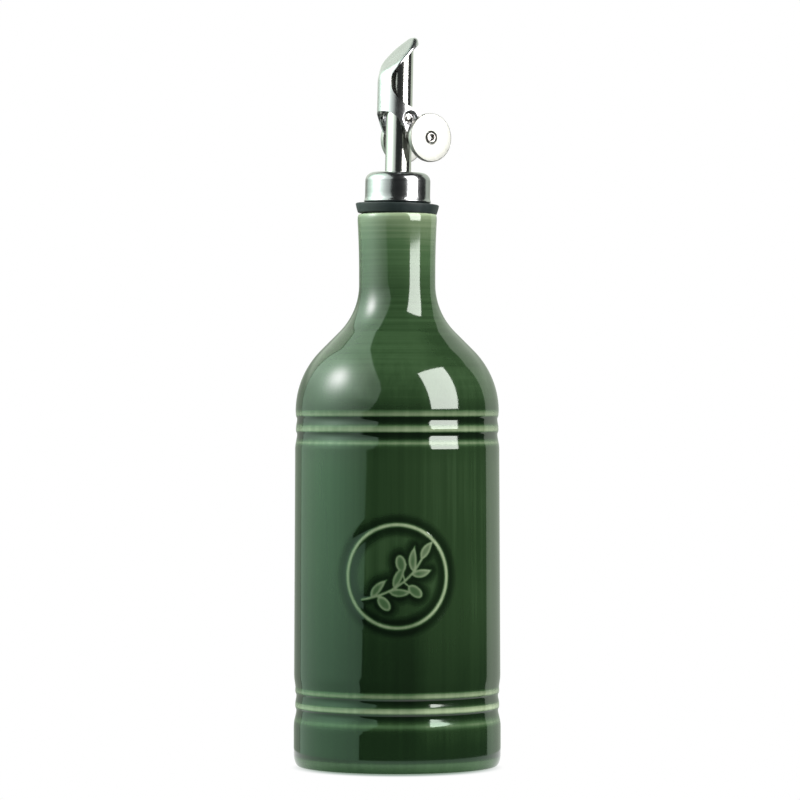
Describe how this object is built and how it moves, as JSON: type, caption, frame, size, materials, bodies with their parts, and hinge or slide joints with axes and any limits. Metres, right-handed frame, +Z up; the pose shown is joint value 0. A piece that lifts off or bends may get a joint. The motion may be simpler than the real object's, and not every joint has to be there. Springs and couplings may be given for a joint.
{
  "type": "ceramic oil dispenser",
  "caption": "Glazed stoneware oil bottle with ringed body, round olive emblem and a steel pourer whose weighted flap swings open to pour.",
  "frame": {"origin": "centre of the bottle's base, on the surface that it stands on", "axes": "+Z up along the bottle's axis, -Y towards the front with the emblem, the spout pours towards +X turned 33 degrees to +Y"},
  "size_m": [0.077, 0.077, 0.2705],
  "materials": {
    "green_glaze": "gloss translucent glaze, pale on edges and dark in grooves",
    "black_rubber": "matt",
    "brushed_cap": "satin",
    "polished_spout": "polished",
    "polished_flap": "polished",
    "satin_weight": "fine satin",
    "rivet_steel": "satin"
  },
  "bodies": {
    "bottle": {"bottle": "green_glaze", "rubber_flange": "black_rubber", "pourer_cap": "brushed_cap", "spout_tube": "polished_spout", "pivot_rivet_near": "rivet_steel", "pivot_rivet_far": "rivet_steel"},
    "flap": {"pour_flap": "polished_flap", "weight_disc_near": "satin_weight", "weight_disc_far": "satin_weight", "weight_axle": "rivet_steel"}
  },
  "joints": [
    {"name": "flap_hinge", "type": "hinge", "parent": "bottle", "child": "flap", "pos_m": [0, 0, 0.2403], "axis": [0.5446, -0.8387, 0], "range_deg": [0, 60]}
  ]
}
